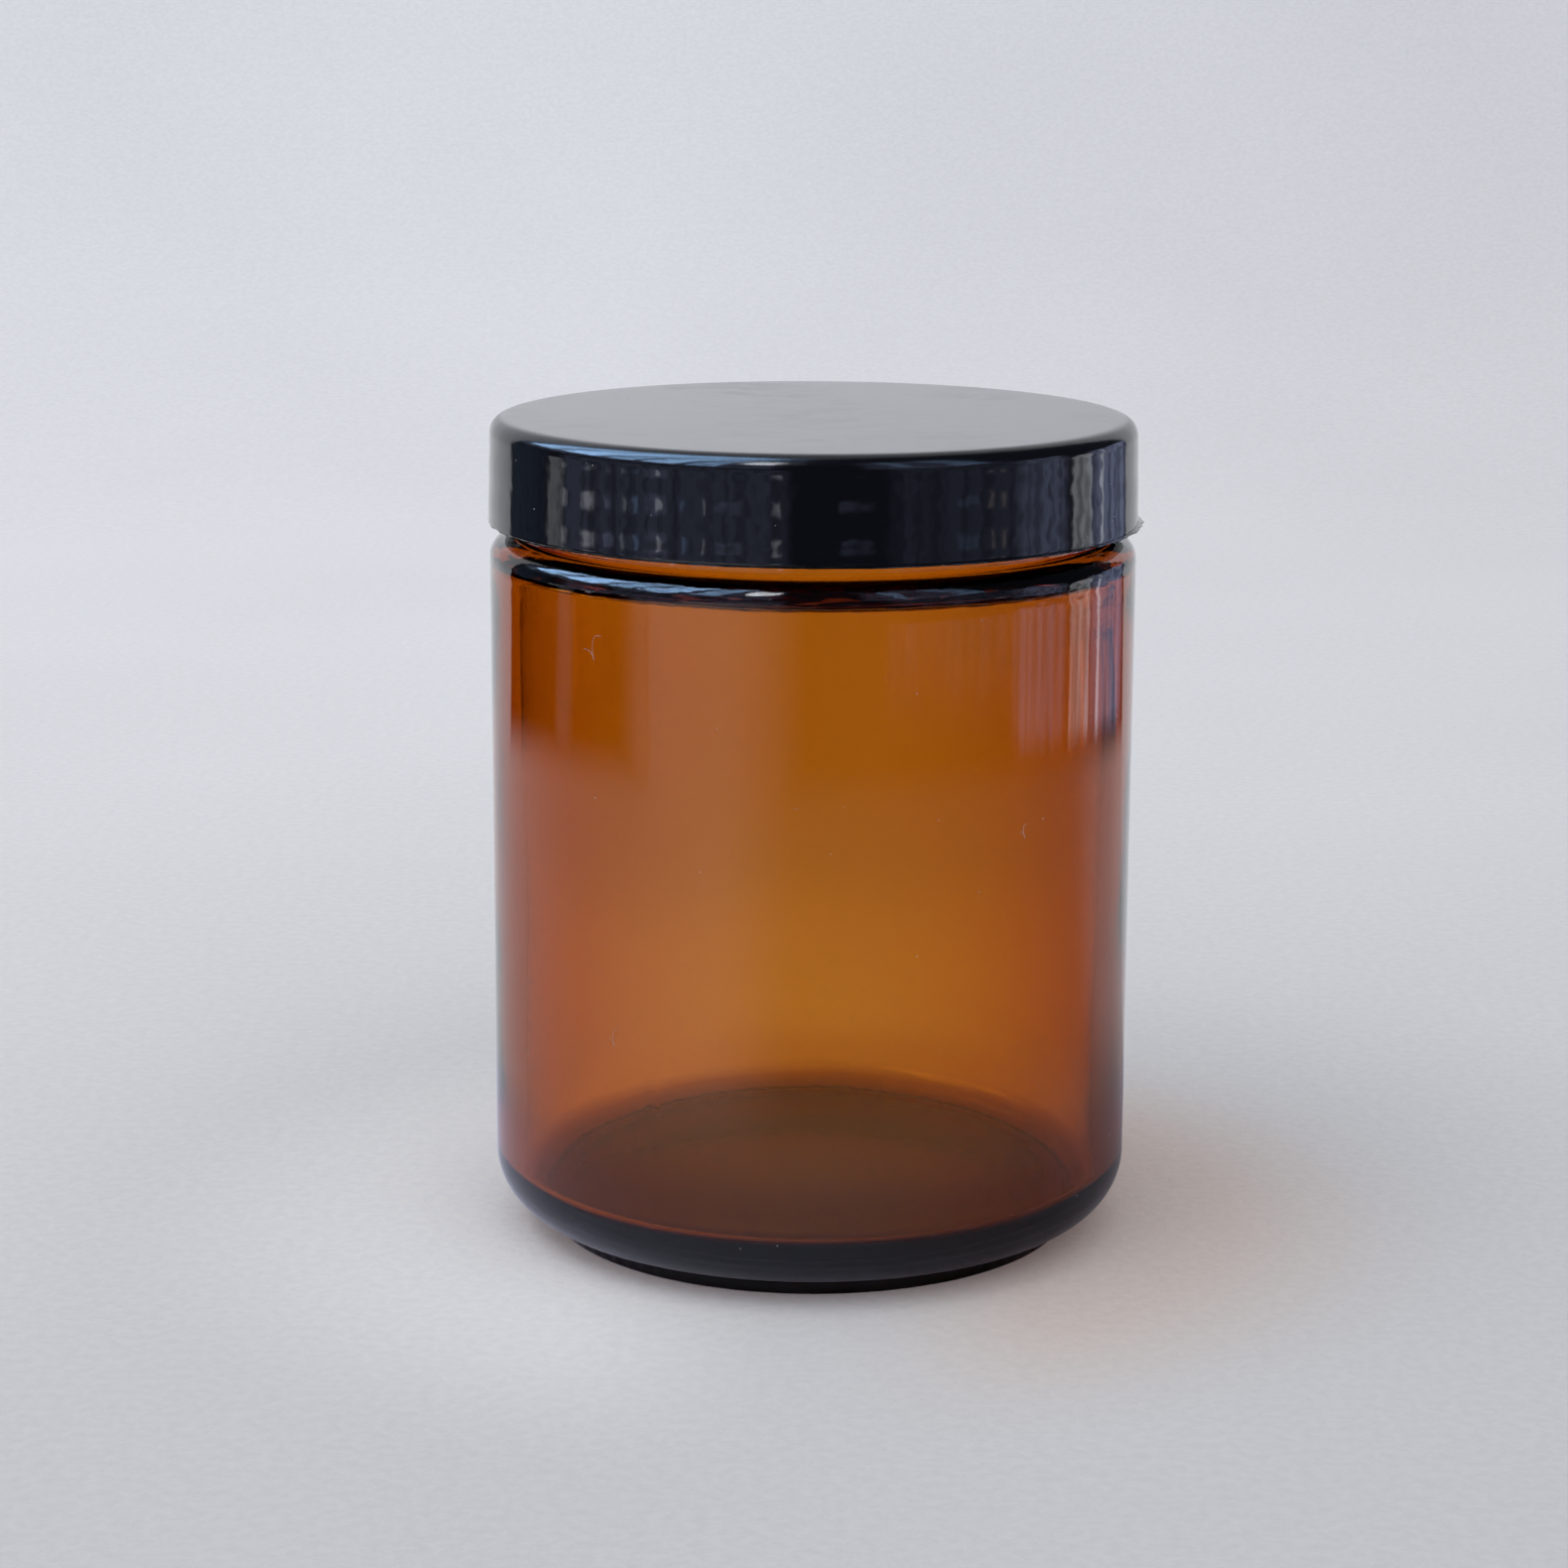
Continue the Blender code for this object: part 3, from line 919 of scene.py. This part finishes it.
def paper():
    """Matt pale paper, with light and shade painted into its colour. As mirrored in the jar it has an outline
    and a painted reflection brightness. Seen directly, it goes on all round.
    """
    material, graph, output = new_material("pale paper")
    spot = place(graph)
    fibres = graph.noise(spot, 700.0, 4.0, 0.6)
    sheen = graph.noise(spot, 5.0, 2.0)
    light = graph.add(graph.ramp(sheen, 0.3, 0.7, -0.014, 0.014), graph.ramp(fibres, 0.3, 0.7, -0.022, 0.022))
    degrees, axes = bearing(graph, spot)
    to_right, to_back = axes["X"], axes["Y"]
    across = graph.from_axis(axes)
    seen = mirrored(graph)
    # Painted reflection: where the jar mirrors it, the paper is drawn brighter or dimmer by bearing
    back_left = graph.ramp(degrees, SHEET_BACK_LEFT - 1, SHEET_BACK_LEFT + 1)
    back_right = graph.ramp(degrees, SHEET_BACK_RIGHT + 1, SHEET_BACK_RIGHT - 1)
    behind = graph.math("MAXIMUM", back_left, back_right)
    painted_reflection = graph.math("MAXIMUM", painted_sheet_reflection(graph, degrees, across), behind)
    painted_reflection = graph.add(graph.times(seen, graph.math("SUBTRACT", painted_reflection, 1.0)), 1.0)

    # Painted light: the window's light over the sheet drawn as a gradient in the paper's colour, and a
    # painted lit spot by the jar's left
    to_back_light = graph.ramp(to_back, *LIGHTER_TO_BACK, smooth=False)
    to_right_light = graph.ramp(to_right, *DARKER_TO_RIGHT, smooth=False)
    brightness = graph.times(to_back_light, to_right_light)
    painted_lit_spot = graph.times(graph.ramp(across, *LIT_SPOT), graph.ramp(to_right, *LIT_SPOT_LEFT))
    brightness = graph.times(brightness, graph.ramp(painted_lit_spot, 0.0, 1.0, 1.0, LIT_SPOT_GAIN, smooth=False))
    brightness = graph.times(brightness, graph.ramp(to_back, *DARKER_IN_FRONT))

    # Seen through the jar: painted light, brighter behind it, and painted shade, darker under its floor
    depth = graph.node("ShaderNodeLightPath").outputs["Transmission Depth"]
    through = graph.times(graph.math("GREATER_THAN", depth, 1.5), graph.math("SUBTRACT", 1.0, seen))
    glow = graph.times(through, graph.ramp(to_back, *SEEN_BEHIND_FAR), graph.ramp(to_back, *SEEN_BEHIND_NEAR))
    gain = graph.add(graph.times(glow, SEEN_BEHIND_GAIN), graph.times(through, SEEN_THROUGH_GAIN), 1.0)
    brightness = graph.times(brightness, gain)
    under = graph.times(through, graph.ramp(to_back, *SEEN_UNDER))

    # Its colour: painted amber light beside the jar, and a painted cooler reflection as mirrored close to it
    painted_amber_light = graph.times(graph.ramp(across, *AMBER_SPOT), graph.ramp(to_right, *AMBER_SPOT_RIGHT))
    painted_cool_reflection = graph.times(seen, graph.ramp(across, *COOL_SPOT))
    tone = graph.node("ShaderNodeCombineColor")
    for channel, level, warmed, cooled, shaded in PAPER_TONES:
        tint = graph.ramp(painted_amber_light, 0.0, 1.0, 1.0, warmed, smooth=False)
        tint = graph.times(tint, graph.ramp(painted_cool_reflection, 0.0, 1.0, 1.0, cooled, smooth=False))
        tint = graph.times(tint, graph.ramp(under, 0.0, 1.0, 1.0, shaded, smooth=False))
        graph.feed(tone.inputs[channel], graph.times(graph.add(light, level), painted_reflection, brightness, tint))
    sheet = graph.node("ShaderNodeBsdfDiffuse", {"Color": tone.outputs[0], "Roughness": 0.6})
    relief(graph, sheet, fibres, PAPER_RELIEF, strength=0.25)
    gone = paper_missing(graph, degrees, across, behind, seen)
    mixed(graph, output, gone, sheet, graph.node("ShaderNodeBsdfTransparent"))
    return material


SKY_BLUE = (0.36, 0.62, 1.0)
PALE = (0.9, 0.95, 1.0)
SLATE = (0.57, 0.64, 1.0)
WARM = (1.0, 0.82, 0.66)

# What the room holds, in degrees: bearing from and to, elevation from and to, colour and brightness
ROOM_THINGS = (
    (10, 97, -9.3, 14, SLATE, 0.42),
    (88, 100, -14, -8.2, PALE, 0.35),
    (100, 116, -14, -8.2, PALE, 0.9),
    (52, 60, -6.6, -3.5, SLATE, 0.4),
    (97, 106, -9.3, -2, PALE, 0.75),
    (95.5, 98, -7.6, -4.9, PALE, 1.2),
    (81, 87, -7.6, -4.9, PALE, 1.6),
    (68.3, 69.8, -7.6, -4.9, PALE, 0.8),
    (54.5, 56.0, -7.6, -4.9, PALE, 1.9),
    (37.3, 38.8, -7.6, -4.9, PALE, 1.5),
    (28, 33, -14, -9.9, PALE, 1.0),
    (12, 15, -7.6, -5.2, PALE, 1.7),
    (106, 130, -40, 30, SKY_BLUE, 0.08),
    (-48, -27, -9.6, 30, SLATE, 0.26),
    (-74, -48, -9.6, 30, SLATE, 0.26),
    (-69, -67, -8, -4.5, WARM, 0.6),
    (-64.5, -63, -8, -4.5, WARM, 0.6),
    (-97, -75, -10.6, 20, SLATE, 0.95),
    (-113, -101, -10.6, 8, PALE, 1.5),
    (-139, -113, -16, 12, SLATE, 0.85),
    (-121, -119, -12, 8, PALE, 1.4),
    (-60, -20, 20, 60, SLATE, 0.5),
    (15, 128, 18, 90, SLATE, 0.6),
    (128, 181, 44, 100, PALE, 0.6),
    (-181, -137, 44, 100, PALE, 0.6),
    (111, 124, 24, 80, SKY_BLUE, 9.0),
    (-36, -30, 30, 60, SKY_BLUE, 2.0),
    (-66, -52, 24, 60, SKY_BLUE, 1.4),
    (-20, -8, -7.4, -5.6, SLATE, 0.35),
    (-58, -50, -7.2, -5.4, SKY_BLUE, 0.5),
    (62, 64, -7.6, -4.9, SKY_BLUE, 1.2),
    (74, 77, -7.2, -5.3, SLATE, 1.0),
    (44, 46.5, -7.4, -5.0, SKY_BLUE, 1.0),
    (26, 34, -7.0, -5.8, SLATE, 0.6),
    (36, 47, 26, 80, SKY_BLUE, 6.0),
    (52, 66, 26, 84, SKY_BLUE, 11.0),
    (70, 82, 26, 84, SKY_BLUE, 8.0),
    (86, 106, 26, 84, SKY_BLUE, 13.0),
    (17, 29, 44, 64, PALE, 12.0),
)


ROOM_DARK = (0.03, 0.035, 0.05)
ROOM_WOBBLE = 5.0  # degrees that upright edges wander
ROOM_SWAY = 1.6  # degrees that level edges wander
WIDE_THING = 18.0  # degrees
WIDE_THING_EDGE = 4.0
NARROW_THING_EDGE = 0.8


def wandering(graph, angle, spot, scale, detail, reach):
    """An angle that wanders a little from place to place."""
    return graph.add(angle, graph.times(graph.math("SUBTRACT", graph.noise(spot, scale, detail), 0.5), reach))


def room():
    """The dark room and its window, which only reflections show."""
    material, graph, output = new_material("room")
    spot = place(graph)
    degrees, axes = bearing(graph, spot)
    height = graph.times(graph.math("ARCSINE", graph.math("DIVIDE", axes["Z"], ROOM_RADIUS)), 180 / pi)
    degrees = wandering(graph, degrees, spot, 4.0, 3.0, ROOM_WOBBLE)
    height = wandering(graph, height, spot, 5.0, 2.0, ROOM_SWAY)
    patches = graph.noise(stretched(graph, spot, (1.0, 1.0, 0.4)), 7.0, 2.0)
    uneven = graph.ramp(patches, 0.35, 0.62, 0.5, 1.2)
    colour = graph.node("ShaderNodeCombineXYZ", dict(zip("XYZ", ROOM_DARK))).outputs[0]
    for left, right, low, high, tint, level in ROOM_THINGS:
        wide = right - left >= WIDE_THING
        soft = WIDE_THING_EDGE if wide else min(NARROW_THING_EDGE, (right - left) / 4)
        from_side = band(graph, degrees, left, right, soft)
        amount = graph.times(from_side, band(graph, height, low, high, NARROW_THING_EDGE), uneven, level)
        thing = graph.node("ShaderNodeVectorMath", operation="SCALE")
        thing.inputs[0].default_value = tint
        graph.feed(thing.inputs["Scale"], amount)
        total = graph.node("ShaderNodeVectorMath", operation="ADD")
        graph.feed(total.inputs[0], colour)
        graph.feed(total.inputs[1], thing.outputs[0])
        colour = total.outputs[0]
    glow = graph.node("ShaderNodeEmission", {"Color": colour, "Strength": 1.0})
    mixed(graph, output, mirrored(graph), graph.node("ShaderNodeBsdfTransparent"), glow)
    material.cycles.emission_sampling = "NONE"
    return spun("room", arc((0, 0), ROOM_RADIUS, -90, 90, 48), 96, material)


def bowl():
    """The pale tabletop, curving up all round."""
    wall = BOWL_FLAT + BOWL_CURVE
    points = [(0.0, -AIR_GAP), (BOWL_FLAT, -AIR_GAP)]
    points += arc((BOWL_FLAT, BOWL_CURVE), BOWL_CURVE, -90, 0, 24)[1:]
    points += [(wall, BOWL_HEIGHT)]
    return spun("tabletop", points, BOWL_SIDES, paper())


WINDOW_PLACE = Vector((-1.1, -0.3, 1.0))
WINDOW_WIDTH = 1.6
WINDOW_WATTS = 10.0
WINDOW_COLOUR = (1.0, 0.98, 0.96)
LIT_PLACE = Vector((0, 0, 0.04))


def window_light():
    """Soft light from a window on the left, which isn't itself seen or mirrored."""
    light = bpy.data.lights.new("window light", "AREA")
    light.shape = "SQUARE"
    light.size = WINDOW_WIDTH
    light.energy = WINDOW_WATTS
    light.color = WINDOW_COLOUR
    lamp = bpy.data.objects.new("window light", light)
    lamp.location = WINDOW_PLACE
    lamp.rotation_euler = (LIT_PLACE - WINDOW_PLACE).to_track_quat("-Z", "Y").to_euler()
    lamp.visible_camera = False
    lamp.visible_glossy = False
    bpy.context.scene.collection.objects.link(lamp)


ROOM_LEVEL = 0.742
ROOM_COLOUR = (0.95, 0.965, 1.0, 1)


def world():
    """Even light from the room, which reflections don't show."""
    sky = bpy.data.worlds.new("room light")
    bpy.context.scene.world = sky
    sky.use_nodes = True
    sky.cycles.sampling_method = "NONE"
    background = sky.node_tree.nodes["Background"]
    background.inputs["Color"].default_value = ROOM_COLOUR
    background.inputs["Strength"].default_value = ROOM_LEVEL


CAMERA_PLACE = Vector((-3.16, -416.72, 142.24)) * MM
CAMERA_PITCH = 12.365  # degrees below the horizon
CAMERA_ROLL = 0.24  # degrees
LENS = 85.27  # mm, on a sensor 36 mm wide


def camera():
    """The camera, a little above the jar and looking down on it."""
    view = bpy.data.cameras.new("camera")
    view.lens = LENS
    view.sensor_width = 36
    view.clip_start = 0.02
    thing = bpy.data.objects.new("camera", view)
    bpy.context.scene.collection.objects.link(thing)
    tilt = Matrix.Rotation(radians(90 - CAMERA_PITCH), 4, "X") @ Matrix.Rotation(radians(CAMERA_ROLL), 4, "Z")
    thing.matrix_world = Matrix.Translation(CAMERA_PLACE) @ tilt
    bpy.context.scene.camera = thing


bpy.context.scene.view_settings.view_transform = "Standard"
camera()
world()
bowl()
room()
window_light()

turning = turned_piece_tree()
marks = handling_marks()
jar = glass_jar(turning, marks)
cap = screw_cap(turning, marks)
liner_ply(turning, "backing_board", backing_low, backing_high, "liner_backing", "liner_board", liner_board())
liner_ply(turning, "sealing_film", facing_low, facing_high, "liner_facing", "liner_film", liner_film())

specks = specks_tree()
lint = pale_lint()
on_cap = {
    "Per Square Metre": 16000.0,
    "Outside From": CAP_RADIUS_BASE - 0.3 * MM,
    "Top From": CAP_TOP - 0.05 * MM,
    "Seed": 4,
    "Material": lint,
}
on_jar = {"Outside From": BODY_RADIUS - 0.2 * MM, "Seed": 7, "Material": lint}
dust(specks, "cap_dust", cap, "cap", on_cap)
dust(specks, "jar_dust", jar, "jar", on_jar)
fibres = fibre_tree()
fibre(fibres, "fibre_high", 40.0, 71.5 * MM, 3.4 * MM, 0.9 * MM, lint)
fibre(fibres, "fibre_low", 36.0, 29.0 * MM, 2.2 * MM, 0.6 * MM, lint)
fibre(fibres, "fibre_right", -38.0, 52.0 * MM, 1.6 * MM, 0.5 * MM, lint)
